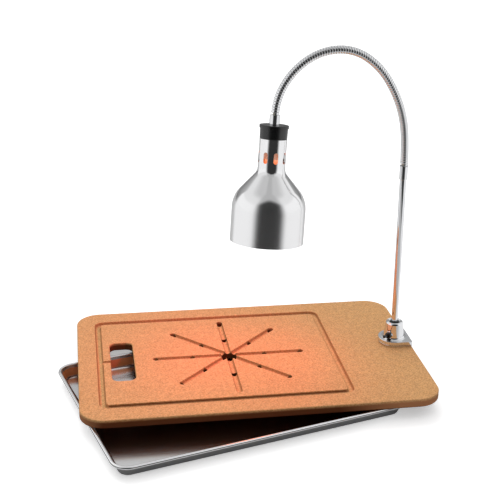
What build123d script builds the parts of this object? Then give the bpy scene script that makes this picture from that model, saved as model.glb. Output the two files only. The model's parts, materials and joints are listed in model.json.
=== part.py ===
from build123d import *
import math
import os

os.makedirs("parts", exist_ok=True)

# Carving station with an infrared lamp on a gooseneck: a carving board lies skewed on a drip pan, and the
# lamp stands on the board. Millimetres and degrees. The origin is on the table under the middle of the
# board. X runs along the board to the lamp post, Y away from the carver, Z up.

# Fits
SEAT_GAP = 0.3        # between bodies that rest on or move past each other
RUNNING_GAP = 0.08    # around a shaft or ball that turns in its bearing
FIT_GAP = 0.05        # around a piece pushed into a bore of its own body
SOCKET_GAP = 0.2      # between the ribs that turn in each other along the gooseneck

# Drip pan, a rectangular baking sheet with a wired rim
PAN_LENGTH = 567.0
PAN_DEPTH = 390.0
PAN_HEIGHT = 25.4
PAN_SHEET = 1.2
PAN_FLARE = 9.6       # how far the walls lean out between floor and rim
PAN_FLOOR_CORNER = 16.0
PAN_COVE = 5.0
BEAD_DIAMETER = 6.4
PAN_YAW = 15.0
PAN_SHIFT_X = -51.0
PAN_SHIFT_Y = -85.6

# Carving board
BOARD_LENGTH = 660.4
BOARD_DEPTH = 431.8
BOARD_THICKNESS = 16.5
BOARD_CORNER = 46.0
BOARD_EDGE_ROUND = 2.2
GROOVE_WIDTH = 13.0
GROOVE_LEFT_MARGIN = 35.6
GROOVE_SIDE_MARGIN = 40.6
GROOVE_RIGHT_MARGIN = 156.6
GROOVE_CORNER = 12.0
RUN_OFF_WIDTH = 10.0
SLOT_WIDTH = 44.5
SLOT_LENGTH = 154.0
SLOT_CORNER = 14.0
SLOT_MARGIN = 62.5    # board end to hand slot
SPOKE_COUNT = 8
SPOKE_CENTRE_X = -38.6
SPOKE_REACH = 142.0
SPOKE_WIDTH = 11.8
PLAIN_SPOKE = 6       # counted from +X: the spoke towards the carver ends without a hole
DRAIN_HOLE = 12.2
HUB_HOLE = 31.5

# Lamp pedestal, its base plate and the screws that hold both to the board
POST_INSET = 30.9     # board end to post axis
POST_Y = 19.0
FLANGE_RADIUS = 30.6
FLANGE_THICKNESS = 8.0
FLANGE_CORNER = 2.0
FLANGE_BEVEL = 0.8
PLATE_THICKNESS = 3.0
BELL_FOOT_RADIUS = 21.0
BELL_TOP_RADIUS = 16.6
BELL_FLARE = 5.0
BELL_CROWN_ROUND = 6.0
PEDESTAL_HEIGHT = 46.0
PEDESTAL_WALL = 2.6
BEARING_LENGTH = 14.0
DISH_RADIUS = 15.0
DISH_DEPTH = 3.6
CUT_OVERRUN = 1.0     # past the faces that the leaning bearing is cut through
SCREW_RADIUS = 2.0
SCREW_HEAD_RADIUS = 4.0
SCREW_HEAD_HEIGHT = 3.0
SCREW_COVER = 1.0     # how deep the heads lie inside the board
SCREW_CIRCLE = 24.0
SCREW_COUNT = 3
SCREW_BEARING = 60.0
SCREW_BITE = 6.0      # screw length inside the flange
WASHER_RADIUS = 5.0
WASHER_THICKNESS = 1.0

# Switch at the front left of the pedestal, cord inlet opposite. Reaches run outwards from the post axis.
SWITCH_BEARING = 225.0
INLET_BEARING = 45.0
SWITCH_RISE = 20.5    # above the board
PAD_RADIUS = 7.4
PAD_REACH = 21.2
COLLAR_RADIUS = 6.6
COLLAR_LENGTH = 5.0
SHANK_RADIUS = 4.9
SHANK_LENGTH = 7.0
CASE_WIDTH = 10.0
CASE_HEIGHT = 10.0
CASE_DEPTH = 10.0
CASE_ROUND = 1.5
PIVOT_DEPTH = 1.6     # lever pivot inside the face of the pad
LEVER_BALL_RADIUS = 3.1
LEVER_ROOT_RADIUS = 1.7
LEVER_TIP_RADIUS = 3.1
LEVER_LENGTH = 20.5   # pivot to the middle of the tip ball
LEVER_TAIL = 4.4
LEVER_TAIL_RADIUS = 1.0
LEVER_TILT = 11.0     # above level when the lamp is on, and as far below when off
INLET_BORE_RADIUS = 3.4
INLET_COLLAR_LENGTH = 3.0
TERMINAL_REACH = 10.0
TERMINAL_DEPTH = 8.0
TERMINAL_WIDTH = 12.0
TERMINAL_HEIGHT = 9.0
TERMINAL_ROUND = 1.0
TERMINAL_BORE = 1.5

# Post
POST_RADIUS = 6.35
BORE_RADIUS = 4.6     # way for the lead through post, gooseneck and lamp head
POST_HEIGHT = 343.0   # board to the foot of the lower ferrule
POST_LEAN = 0.8       # towards the board's middle, from the top of the pedestal up
BUSH_WALL = 1.8
BUSH_FLANGE_RADIUS = 9.2
BUSH_FLANGE_THICKNESS = 1.5
STOP_RING_RADIUS = 8.4
STOP_RING_THICKNESS = 2.0
NUT_ACROSS_FLATS = 19.0
NUT_THICKNESS = 3.5
FERRULE_LENGTH = 27.0
FERRULE_WALL = 1.35
FERRULE_BAND = 3.0
FERRULE_BAND_RISE = 0.5
POST_ENTRY = 15.0     # post length inside the lower ferrule
LEAD_RADIUS = 4.2
LEAD_END_GAP = 0.8

# Gooseneck: ribbed links, each cupped over the ball-shaped last rib of the link before it. The headings are
# measured from upright towards the board's middle and the leans towards the carver, at every link end.
NECK_RADIUS = 7.5
NECK_LENGTH = 466.4
NECK_HEADINGS = (POST_LEAN, 5.5, 20.6, 34.5, 57.2, 93, 123.6, 147.8, 176)
NECK_LEANS = (0, 0, 0, 0, 0, 0.5, 2.5, 5, 8)
RIBS_PER_LINK = 8
STRAIGHT_TURN = 1e-4  # a link that turns less, in radians, is straight

# Lamp head, measured downwards from the end of the gooseneck along the lamp axis
HEAD_FRONT = (0, -1, 0)
UPPER_FERRULE_LENGTH = 18.0
UPPER_FERRULE_RADIUS = 9.5
NIPPLE_RADIUS = 6.4
CAP_HEIGHT = 25.0
CAP_LIP_RADIUS = 26.9
CAP_LIP_HEIGHT = 5.5
CAP_TOP_RADIUS = 25.6
CAP_FOOT_RADIUS = 25.0
CAP_WALL = 3.0
CAP_EDGE = 1.4
SHADE_SHEET = 1.0
SHADE_NECK_RADIUS = 25.2
SHADE_BODY_RADIUS = 68.2
SHADE_NECK_LENGTH = 60.0     # down to where the straight sides of neck and cone meet
SHADE_SHOULDER_LENGTH = 48.5
SHADE_BODY_LENGTH = 82.5
SHADE_COVE = 21.0
SHADE_SHOULDER_ROUND = 54.0
SHADE_HEM_HEIGHT = 4.0
VENT_COUNT = 8
VENT_WIDTH = 8.2
VENT_HEIGHT = 20.6
VENT_MIDDLE = 33.5           # below the top of the shade
VENT_TURN = -5.0             # turns the ring of vents away from the front

# Lampholder and reflector bulb
HOLDER_RADIUS = 18.8
HOLDER_MOUTH_RADIUS = 17.0
HOLDER_LENGTH = 36.0
HOLDER_BASE = 8.0
HOLDER_EDGE = 1.2
NIPPLE_BITE = 6.0
SHELL_RADIUS = 14.0
SHELL_WALL = 0.5
SHELL_LENGTH = 24.0
CONTACT_RADIUS = 5.0
CONTACT_THICKNESS = 2.0
BULB_CAP_RADIUS = 13.2
BULB_CAP_LENGTH = 26.0
BULB_CAP_WALL = 0.6
BULB_TIP_RADIUS = 4.5
BULB_TIP_HEIGHT = 3.0
BULB_LENGTH = 162.0
BULB_RADIUS = 62.5
BULB_THROAT = 14.0           # screw cap to where the sides of neck and reflector meet
BULB_THROAT_ROUND = 30.0
BULB_BRIM = 38.0             # where the reflector meets the brim, above the middle of the face
BULB_BRIM_ROUND = 30.0
BULB_DOME = 20.0             # rise of the domed face
BULB_FACE_ROUND = 12.0
BULB_NECK_ENTRY = 8.0        # glass inside the screw cap
BULB_GLASS = 1.2
STEM_RADIUS = 4.5
STEM_LENGTH = 34.0
SUPPORT_RADIUS = 0.8
SUPPORT_LENGTH = 26.0
SUPPORT_SPREAD = 2.6
FILAMENT_SPAN = 13.0
FILAMENT_RADIUS = 1.1

# Heights and places that follow from the sizes above
WALL_RISE = PAN_HEIGHT - BEAD_DIAMETER / 2
WALL_LEAN = math.degrees(math.atan2(PAN_FLARE, WALL_RISE))
BOARD_UNDERSIDE = PAN_HEIGHT + SEAT_GAP
BOARD_TOP = BOARD_UNDERSIDE + BOARD_THICKNESS
SLOT_X = -BOARD_LENGTH / 2 + SLOT_MARGIN + SLOT_WIDTH / 2
SCREW_HEAD_FOOT = BOARD_UNDERSIDE + SCREW_COVER
SCREW_HEAD_TOP = SCREW_HEAD_FOOT + SCREW_HEAD_HEIGHT
SCREW_SEAT = SCREW_HEAD_TOP + WASHER_THICKNESS
POST_X = BOARD_LENGTH / 2 - POST_INSET
PLATE_TOP = BOARD_TOP + PLATE_THICKNESS
FLANGE_TOP = PLATE_TOP + FLANGE_THICKNESS
PEDESTAL_TOP = BOARD_TOP + PEDESTAL_HEIGHT
BEARING_FOOT = PEDESTAL_TOP - BEARING_LENGTH
HOLLOW_FOOT_RADIUS = BELL_FOOT_RADIUS - PEDESTAL_WALL
HOLLOW_TOP_RADIUS = BELL_TOP_RADIUS - PEDESTAL_WALL
DISH_FLOOR = PEDESTAL_TOP - DISH_DEPTH
SWITCH_LEVEL = BOARD_TOP + SWITCH_RISE
SHANK_END = PAD_REACH - SHANK_LENGTH
PIVOT_REACH = PAD_REACH - PIVOT_DEPTH
BUSH_RADIUS = POST_RADIUS + RUNNING_GAP + BUSH_WALL
BUSH_TOP = DISH_FLOOR + BUSH_FLANGE_THICKNESS
NUT_FOOT = BEARING_FOOT - SEAT_GAP - NUT_THICKNESS
FERRULE_FOOT = BOARD_TOP + POST_HEIGHT
NECK_FOOT = FERRULE_FOOT + FERRULE_LENGTH
LINK_COUNT = len(NECK_HEADINGS) - 1
LINK_LENGTH = NECK_LENGTH / LINK_COUNT
CAP_TOP = UPPER_FERRULE_LENGTH
SHADE_TOP = CAP_TOP + CAP_HEIGHT
SHADE_MOUTH = SHADE_TOP + SHADE_NECK_LENGTH + SHADE_SHOULDER_LENGTH + SHADE_BODY_LENGTH
HOLDER_TOP = SHADE_TOP + SHADE_SHEET
HOLDER_FLOOR = HOLDER_TOP + HOLDER_BASE
BULB_TOP = HOLDER_FLOOR + CONTACT_THICKNESS
BULB_CAP_END = BULB_TOP + BULB_CAP_LENGTH
BULB_NECK_FOOT = BULB_CAP_END - BULB_NECK_ENTRY
BULB_FACE = BULB_TOP + BULB_LENGTH

post_place = Pos(POST_X, POST_Y, 0)
post_axis = Pos(POST_X, POST_Y, PEDESTAL_TOP) * Rot(0, -POST_LEAN, 0) * Pos(0, 0, -PEDESTAL_TOP)
pan_place = Pos(PAN_SHIFT_X, PAN_SHIFT_Y, 0) * Rot(0, 0, PAN_YAW)


def spun(section, rounds=()):
    """A section in radius and height, turned about Z; rounds lists its filleted corners as (point, size)."""
    for (radius, height), size in rounds:
        corner = section.vertices().sort_by_distance((radius, height, 0))[0]
        section = fillet(corner, size)
    return revolve(Plane.XZ * section, Axis.Z)


def turned(outline, rounds=()):
    """A solid of revolution about Z from (radius, height) points, with rounds as in spun."""
    return spun(make_face(Polyline(*outline, close=True)), rounds)


def tube(outer, inner, low, high):
    """A plain sleeve about Z."""
    return turned([(inner, low), (outer, low), (outer, high), (inner, high)])


def rod(radius, low, high):
    """A plain cylinder about Z."""
    return turned([(0, low), (radius, low), (radius, high), (0, high)])


def slab(sketch, low, high):
    """A sketch drawn in plan, raised from one height to another."""
    return Pos(0, 0, low) * extrude(sketch, high - low)


# Drip pan

def pan_block(floor_length, floor_depth, corner, floor):
    """The flared block whose skin is one side of the pan's sheet, from the given floor up to bead level."""
    block = extrude(RectangleRounded(floor_length, floor_depth, corner), WALL_RISE, taper=-WALL_LEAN)
    return Pos(0, 0, floor) * block


def floor_edges(block):
    """The edges round the floor of a block."""
    return block.faces().sort_by(Axis.Z)[0].edges()


def along_rim(section):
    """Carries a round section along the middle line of the rolled rim."""
    corner = PAN_FLOOR_CORNER + PAN_FLARE + BEAD_DIAMETER / 2
    outline = RectangleRounded(PAN_LENGTH - BEAD_DIAMETER, PAN_DEPTH - BEAD_DIAMETER, corner)
    path = Pos(0, 0, WALL_RISE) * outline.wire()
    return sweep(Plane(origin=path @ 0, z_dir=path % 0) * section, path=path)


def make_drip_pan():
    lean = math.radians(WALL_LEAN)
    length = PAN_LENGTH - 2 * (BEAD_DIAMETER + PAN_FLARE - PAN_SHEET)
    depth = PAN_DEPTH - 2 * (BEAD_DIAMETER + PAN_FLARE - PAN_SHEET)
    corner = PAN_FLOOR_CORNER + PAN_SHEET
    inset = PAN_SHEET * (1 / math.cos(lean) - math.tan(lean))
    outside = pan_block(length, depth, corner, 0)
    outside = fillet(floor_edges(outside), PAN_COVE)
    inside = pan_block(length - 2 * inset, depth - 2 * inset, corner - inset, PAN_SHEET)
    inside = fillet(floor_edges(inside), PAN_COVE - PAN_SHEET)
    bead = Circle(BEAD_DIAMETER / 2) - Circle(BEAD_DIAMETER / 2 - PAN_SHEET)
    return pan_place * (outside - inside + along_rim(bead))


def make_rim_wire():
    return pan_place * along_rim(Circle(BEAD_DIAMETER / 2 - PAN_SHEET - FIT_GAP))


# Carving board

def juice_groove():
    """The half-round groove round the carving area, as the rod that is cut away."""
    left = -BOARD_LENGTH / 2 + GROOVE_LEFT_MARGIN + GROOVE_WIDTH / 2
    right = BOARD_LENGTH / 2 - GROOVE_RIGHT_MARGIN - GROOVE_WIDTH / 2
    depth = BOARD_DEPTH - 2 * GROOVE_SIDE_MARGIN - GROOVE_WIDTH
    path = Pos((left + right) / 2, 0, BOARD_TOP) * RectangleRounded(right - left, depth, GROOVE_CORNER).wire()
    groove = sweep(Plane(origin=path @ 0, z_dir=path % 0) * Circle(GROOVE_WIDTH / 2), path=path)
    run_off = Plane(origin=(left, 0, BOARD_TOP), z_dir=(1, 0, 0)) * rod(RUN_OFF_WIDTH / 2, 0, SLOT_X - left)
    return groove + run_off


def drain_star():
    """Half-round grooves that run out from a hub hole, with drain holes half way along and at their ends."""
    cut = rod(HUB_HOLE / 2, BOARD_UNDERSIDE, BOARD_TOP)
    hole = rod(DRAIN_HOLE / 2, BOARD_UNDERSIDE, BOARD_TOP)
    end = Pos(SPOKE_REACH, 0, BOARD_TOP)
    groove = Pos(0, 0, BOARD_TOP) * Rot(0, 90, 0) * rod(SPOKE_WIDTH / 2, 0, SPOKE_REACH)
    groove += end * Sphere(SPOKE_WIDTH / 2)
    groove += Pos(SPOKE_REACH / 2, 0, 0) * hole
    drained = groove + Pos(SPOKE_REACH, 0, 0) * hole
    for step in range(SPOKE_COUNT):
        spoke = groove if step == PLAIN_SPOKE else drained
        cut += Rot(0, 0, step * 360 / SPOKE_COUNT) * spoke
    return Pos(SPOKE_CENTRE_X, 0, 0) * cut


def at_screws(piece):
    """The piece repeated at every pedestal screw, as separate solids."""
    turns = [Rot(0, 0, SCREW_BEARING + step * 360 / SCREW_COUNT) for step in range(SCREW_COUNT)]
    return [post_place * turn * Pos(SCREW_CIRCLE, 0, 0) * piece for turn in turns]


def rounded_plate(sketch, low, high, size):
    """A plate with all its edges rounded over."""
    plate = slab(sketch, low, high)
    rims = [face.edges() for face in plate.faces().filter_by(Axis.Z)]
    return fillet(rims[0] + rims[1], size)


def make_carving_board():
    outline = RectangleRounded(BOARD_LENGTH, BOARD_DEPTH, BOARD_CORNER)
    slot = Pos(SLOT_X, 0) * RectangleRounded(SLOT_WIDTH, SLOT_LENGTH, SLOT_CORNER)
    board = rounded_plate(outline - slot, BOARD_UNDERSIDE, BOARD_TOP, BOARD_EDGE_ROUND)
    board -= juice_groove()
    board -= drain_star()
    passage = rod(SCREW_RADIUS + SEAT_GAP, BOARD_UNDERSIDE, BOARD_TOP)
    passage += rod(WASHER_RADIUS + SEAT_GAP, BOARD_UNDERSIDE, SCREW_SEAT)
    for hole in at_screws(passage):
        board -= hole
    return board


def make_base_screws():
    screw_end = PLATE_TOP + SCREW_BITE
    screw = turned(
        [
            (0, SCREW_HEAD_FOOT),
            (SCREW_HEAD_RADIUS, SCREW_HEAD_FOOT),
            (SCREW_HEAD_RADIUS, SCREW_HEAD_TOP),
            (SCREW_RADIUS, SCREW_HEAD_TOP),
            (SCREW_RADIUS, screw_end),
            (0, screw_end),
        ],
        [((SCREW_HEAD_RADIUS, SCREW_HEAD_FOOT), SCREW_HEAD_HEIGHT / 3)],
    )
    screw -= Pos(0, 0, SCREW_HEAD_FOOT) * extrude(RegularPolygon(SCREW_RADIUS, 6), SCREW_HEAD_HEIGHT / 2)
    return Compound(children=at_screws(screw))


def make_base_washers():
    washer = tube(WASHER_RADIUS, SCREW_RADIUS + FIT_GAP, SCREW_HEAD_TOP, SCREW_SEAT)
    return Compound(children=at_screws(washer))


# Lamp pedestal

def flange_outline():
    """The D-shaped outline of pedestal and base plate: round to the left, square at the board's end."""
    square = Pos(POST_INSET / 2, 0) * Rectangle(POST_INSET, 2 * FLANGE_RADIUS)
    square = fillet(square.vertices().group_by(Axis.X)[-1], FLANGE_CORNER)
    return Circle(FLANGE_RADIUS) + square


def sideways(bearing, level, piece):
    """Lays a piece turned about Z on its side, so that its height runs outwards from the post axis."""
    return post_place * Rot(0, 0, bearing) * Pos(0, 0, level) * Rot(0, 90, 0) * piece


def make_base_plate():
    plate = slab(flange_outline(), BOARD_TOP, PLATE_TOP)
    plate = post_place * chamfer(plate.faces().sort_by(Axis.Z)[0].edges(), FLANGE_BEVEL)
    for hole in at_screws(rod(SCREW_RADIUS + SEAT_GAP, BOARD_TOP, PLATE_TOP)):
        plate -= hole
    return plate


def make_pedestal():
    flange = slab(flange_outline(), PLATE_TOP, FLANGE_TOP)
    flange = chamfer(flange.faces().sort_by(Axis.Z)[0].edges(), FLANGE_BEVEL)
    flange = fillet(flange.faces().sort_by(Axis.Z)[-1].edges(), FLANGE_BEVEL)
    apron = BELL_FOOT_RADIUS + BELL_FLARE + FLANGE_BEVEL
    bell = turned(
        [
            (0, PLATE_TOP),
            (apron, PLATE_TOP),
            (apron, FLANGE_TOP),
            (BELL_FOOT_RADIUS, FLANGE_TOP),
            (BELL_TOP_RADIUS, PEDESTAL_TOP),
            (0, PEDESTAL_TOP),
        ],
        [((BELL_FOOT_RADIUS, FLANGE_TOP), BELL_FLARE), ((BELL_TOP_RADIUS, PEDESTAL_TOP), BELL_CROWN_ROUND)],
    )
    casting = post_place * (flange + bell)
    pad = rod(PAD_RADIUS, 0, PAD_REACH)
    casting += sideways(SWITCH_BEARING, SWITCH_LEVEL, pad)
    casting += sideways(INLET_BEARING, SWITCH_LEVEL, pad)
    hollow = turned(
        [
            (0, PLATE_TOP),
            (HOLLOW_FOOT_RADIUS, PLATE_TOP),
            (HOLLOW_TOP_RADIUS, BEARING_FOOT),
            (0, BEARING_FOOT),
        ]
    )
    casting -= post_place * hollow
    bearing = rod(BUSH_RADIUS + FIT_GAP, BEARING_FOOT - CUT_OVERRUN, PEDESTAL_TOP)
    bearing += turned(
        [
            (0, DISH_FLOOR),
            (BUSH_FLANGE_RADIUS, DISH_FLOOR),
            (DISH_RADIUS, PEDESTAL_TOP),
            (DISH_RADIUS, PEDESTAL_TOP + CUT_OVERRUN),
            (0, PEDESTAL_TOP + CUT_OVERRUN),
        ]
    )
    casting -= post_axis * bearing
    through = rod(SHANK_RADIUS + FIT_GAP, 0, PAD_REACH)
    casting -= sideways(SWITCH_BEARING, SWITCH_LEVEL, through)
    casting -= sideways(INLET_BEARING, SWITCH_LEVEL, through)
    for hole in at_screws(rod(SCREW_RADIUS + FIT_GAP, PLATE_TOP, PLATE_TOP + SCREW_BITE + FIT_GAP)):
        casting -= hole
    return casting


def make_cord_inlet():
    """The bush in the back of the pedestal where the supply cord would enter."""
    bush = turned(
        [
            (INLET_BORE_RADIUS, SHANK_END),
            (SHANK_RADIUS, SHANK_END),
            (SHANK_RADIUS, PAD_REACH),
            (COLLAR_RADIUS, PAD_REACH),
            (COLLAR_RADIUS, PAD_REACH + INLET_COLLAR_LENGTH),
            (INLET_BORE_RADIUS, PAD_REACH + INLET_COLLAR_LENGTH),
        ],
        [((COLLAR_RADIUS, PAD_REACH + INLET_COLLAR_LENGTH), INLET_COLLAR_LENGTH / 2)],
    )
    return sideways(INLET_BEARING, SWITCH_LEVEL, bush)


def make_switch_body():
    """The switch case behind the collar."""
    case = Pos(0, 0, SHANK_END - CASE_DEPTH / 2) * Box(CASE_HEIGHT, CASE_WIDTH, CASE_DEPTH)
    case = fillet(case.edges().filter_by(Axis.Z), CASE_ROUND)
    return sideways(SWITCH_BEARING, SWITCH_LEVEL, case)


def make_switch_collar():
    """The collar and shank that carry the switch in the pedestal's wall, with a ball seat for the lever."""
    front = PAD_REACH + COLLAR_LENGTH
    tilt = math.radians(LEVER_TILT)
    taper = math.atan2(LEVER_TIP_RADIUS - LEVER_ROOT_RADIUS, LEVER_LENGTH)
    throat = (LEVER_ROOT_RADIUS + SEAT_GAP) / math.cos(tilt)
    mouth = throat + (front - PIVOT_REACH) * math.tan(tilt + taper)
    tail_swing = LEVER_TAIL * math.tan(tilt) + LEVER_TAIL_RADIUS
    collar = turned(
        [
            (0, SHANK_END),
            (SHANK_RADIUS, SHANK_END),
            (SHANK_RADIUS, PAD_REACH),
            (COLLAR_RADIUS, PAD_REACH),
            (COLLAR_RADIUS, front),
            (0, front),
        ],
        [((COLLAR_RADIUS, front), COLLAR_LENGTH / 2)],
    )
    collar -= Pos(0, 0, PIVOT_REACH) * Sphere(LEVER_BALL_RADIUS + RUNNING_GAP)
    collar -= turned([(0, PIVOT_REACH), (throat, PIVOT_REACH), (mouth, front), (0, front)])
    collar -= rod(tail_swing + SEAT_GAP, SHANK_END, PIVOT_REACH)
    return sideways(SWITCH_BEARING, SWITCH_LEVEL, collar)


def make_switch_lever():
    """The bat-shaped lever, with its ball at the pivot, in the on position."""
    root = (LEVER_ROOT_RADIUS, 0)
    lever = turned([(0, 0), root, (LEVER_TIP_RADIUS, LEVER_LENGTH), (0, LEVER_LENGTH)])
    lever += Pos(0, 0, LEVER_LENGTH) * Sphere(LEVER_TIP_RADIUS)
    lever += Sphere(LEVER_BALL_RADIUS)
    lever += rod(LEVER_TAIL_RADIUS, -LEVER_TAIL, 0)
    tilted = Pos(0, 0, PIVOT_REACH) * Rot(0, -LEVER_TILT, 0) * lever
    return sideways(SWITCH_BEARING, SWITCH_LEVEL, tilted)


def make_terminal_block():
    """The block on the base plate where the cord's wires would be joined to the lead."""
    block = Box(TERMINAL_DEPTH, TERMINAL_WIDTH, TERMINAL_HEIGHT)
    block = fillet(block.edges().filter_by(Axis.Z), TERMINAL_ROUND)
    bores = rod(TERMINAL_BORE, 0, TERMINAL_HEIGHT / 2)
    bores += Rot(0, 90, 0) * rod(TERMINAL_BORE, -TERMINAL_DEPTH / 2, TERMINAL_DEPTH / 2)
    for side in (-1, 1):
        block -= Pos(0, side * TERMINAL_WIDTH / 4, 0) * bores
    place = Rot(0, 0, INLET_BEARING) * Pos(TERMINAL_REACH, 0, PLATE_TOP + TERMINAL_HEIGHT / 2)
    return post_place * place * block


# Post

def make_post_bush():
    """The flanged bush in the pedestal that the post turns in."""
    bore = POST_RADIUS + RUNNING_GAP
    return post_axis * turned(
        [
            (bore, BEARING_FOOT),
            (BUSH_RADIUS, BEARING_FOOT),
            (BUSH_RADIUS, DISH_FLOOR),
            (BUSH_FLANGE_RADIUS, DISH_FLOOR),
            (BUSH_FLANGE_RADIUS, BUSH_TOP),
            (bore, BUSH_TOP),
        ]
    )


def make_post_tube():
    return post_axis * tube(POST_RADIUS, BORE_RADIUS, NUT_FOOT, FERRULE_FOOT + POST_ENTRY)


def make_post_nut():
    """The nut under the bearing that keeps the post in its bush."""
    nut = extrude(RegularPolygon(NUT_ACROSS_FLATS / 2, 6, major_radius=False), NUT_THICKNESS)
    nut -= rod(POST_RADIUS + FIT_GAP, 0, NUT_THICKNESS)
    return post_axis * Pos(0, 0, NUT_FOOT) * nut


def make_post_collar():
    """The stop ring on the post that rests on the bush."""
    foot = BUSH_TOP + SEAT_GAP
    top = foot + STOP_RING_THICKNESS
    inner = POST_RADIUS + FIT_GAP
    return post_axis * turned(
        [(inner, foot), (STOP_RING_RADIUS, foot), (STOP_RING_RADIUS, top), (inner, top)],
        [((STOP_RING_RADIUS, top), STOP_RING_THICKNESS / 2)],
    )


def make_lower_ferrule():
    """The sleeve that joins the post to the gooseneck, with a raised band at its upper end."""
    bore = POST_RADIUS + FIT_GAP
    outer = POST_RADIUS + FERRULE_WALL
    step = FERRULE_FOOT + POST_ENTRY
    band = NECK_FOOT - FERRULE_BAND
    return post_axis * turned(
        [
            (bore, FERRULE_FOOT),
            (outer, FERRULE_FOOT),
            (outer, band),
            (outer + FERRULE_BAND_RISE, band),
            (outer + FERRULE_BAND_RISE, NECK_FOOT),
            (BORE_RADIUS, NECK_FOOT),
            (BORE_RADIUS, step),
            (bore, step),
        ],
        [((outer, FERRULE_FOOT), FERRULE_WALL / 2)],
    )


def make_post_lead():
    return post_axis * rod(LEAD_RADIUS, NUT_FOOT, NECK_FOOT - LEAD_END_GAP)


# Gooseneck

def neck_direction(heading, lean):
    """Unit direction of the gooseneck from its heading and lean."""
    turn = math.radians(heading)
    tip = math.radians(lean)
    return Vector(-math.sin(turn) * math.cos(tip), -math.sin(tip), math.cos(turn) * math.cos(tip))


def arc_point(start, along, onwards, length, share):
    """Point and direction part of the way along an arc that turns from one direction to another."""
    turn = math.radians(along.get_angle(onwards))
    if turn < STRAIGHT_TURN:
        return start + along * (length * share), along
    across = (onwards - along * math.cos(turn)) * (1 / math.sin(turn))
    radius = length / turn
    angle = turn * share
    point = start + along * (radius * math.sin(angle)) + across * (radius * (1 - math.cos(angle)))
    return point, along * math.cos(angle) + across * math.sin(angle)


def neck_stations():
    """Points and directions at the ends of the links, from the lower ferrule to the lamp."""
    directions = [neck_direction(heading, lean) for heading, lean in zip(NECK_HEADINGS, NECK_LEANS)]
    points = [(post_axis * Pos(0, 0, NECK_FOOT)).position]
    for along, onwards in zip(directions, directions[1:]):
        points.append(arc_point(points[-1], along, onwards, LINK_LENGTH, 1)[0])
    return points, directions


def link_core(index, radius, first, last):
    """A round rod that follows a link's middle line between two shares of its length."""
    points, directions = neck_stations()
    ends = [
        arc_point(points[index], directions[index], directions[index + 1], LINK_LENGTH, share)
        for share in (first, (first + last) / 2, last)
    ]
    if math.radians(directions[index].get_angle(directions[index + 1])) < STRAIGHT_TURN:
        path = Line(ends[0][0], ends[2][0])
    else:
        path = ThreePointArc(ends[0][0], ends[1][0], ends[2][0])
    return sweep(Plane(origin=ends[0][0], z_dir=ends[0][1]) * Circle(radius), path=path)


def make_neck_link(index):
    """One link: a hollow row of ball-shaped ribs, cupped at its start over the last rib of the one before."""
    points, directions = neck_stations()
    start, along, onwards = points[index], directions[index], directions[index + 1]
    opening = index == 0
    closing = index == LINK_COUNT - 1
    first_rib = 0 if opening else 1
    ribs = []
    for rib in range(first_rib, RIBS_PER_LINK + 1):
        point, tangent = arc_point(start, along, onwards, LINK_LENGTH, rib / RIBS_PER_LINK)
        ribs.append(Plane(origin=point, z_dir=tangent) * Sphere(NECK_RADIUS))
    link = ribs[0] + ribs[1:]
    overrun = 2 * NECK_RADIUS / LINK_LENGTH
    link -= link_core(index, BORE_RADIUS, -overrun, 1 + overrun)
    trim = rod(2 * NECK_RADIUS, -2 * NECK_RADIUS, 0)
    if opening:
        link -= Plane(origin=start, z_dir=along) * trim
    else:
        link -= Plane(origin=start, z_dir=along) * Sphere(NECK_RADIUS + SOCKET_GAP)
    if closing:
        link -= Plane(origin=points[index + 1], z_dir=-onwards) * trim
    return link


def make_neck_lead(index):
    """The lead inside one link, clear of the ball of the link before."""
    start = LEAD_END_GAP if index == 0 else NECK_RADIUS + SEAT_GAP
    return link_core(index, LEAD_RADIUS, start / LINK_LENGTH, 1)


# Lamp head. Its pieces are turned about Z with heights running down from the end of the gooseneck.

def head_place():
    """Places a head piece on the end of the gooseneck, its front towards the carver."""
    points, directions = neck_stations()
    return Plane(origin=points[-1], x_dir=HEAD_FRONT, z_dir=directions[-1])


def make_upper_ferrule():
    """The sleeve at the lamp end of the gooseneck, with the nipple that passes through cap and shade."""
    return turned(
        [
            (BORE_RADIUS, 0),
            (UPPER_FERRULE_RADIUS, 0),
            (UPPER_FERRULE_RADIUS, CAP_TOP),
            (NIPPLE_RADIUS, CAP_TOP),
            (NIPPLE_RADIUS, HOLDER_TOP + NIPPLE_BITE),
            (BORE_RADIUS, HOLDER_TOP + NIPPLE_BITE),
        ]
    )


def make_head_lead():
    return rod(LEAD_RADIUS, LEAD_END_GAP, HOLDER_TOP + NIPPLE_BITE)


def make_head_cap():
    """The heat-proof cap: a cup with a lip round its closed top."""
    lip_foot = CAP_TOP + CAP_LIP_HEIGHT
    cap = turned(
        [
            (0, CAP_TOP),
            (CAP_LIP_RADIUS, CAP_TOP),
            (CAP_LIP_RADIUS, lip_foot),
            (CAP_TOP_RADIUS, lip_foot),
            (CAP_FOOT_RADIUS, SHADE_TOP),
            (0, SHADE_TOP),
        ],
        [
            ((CAP_LIP_RADIUS, CAP_TOP), CAP_EDGE),
            ((CAP_LIP_RADIUS, lip_foot), CAP_EDGE / 4),
            ((CAP_FOOT_RADIUS, SHADE_TOP), CAP_EDGE),
        ],
    )
    cap -= rod(CAP_FOOT_RADIUS - CAP_WALL, CAP_TOP + CAP_WALL, SHADE_TOP)
    return cap - rod(NIPPLE_RADIUS + FIT_GAP, CAP_TOP, SHADE_TOP)


def make_head_nut():
    """The nut inside the cap that clamps shade and lampholder."""
    nut = extrude(RegularPolygon(NUT_ACROSS_FLATS / 2, 6, major_radius=False), NUT_THICKNESS)
    nut -= rod(NIPPLE_RADIUS + FIT_GAP, 0, NUT_THICKNESS)
    return Pos(0, 0, SHADE_TOP - NUT_THICKNESS) * nut


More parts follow.
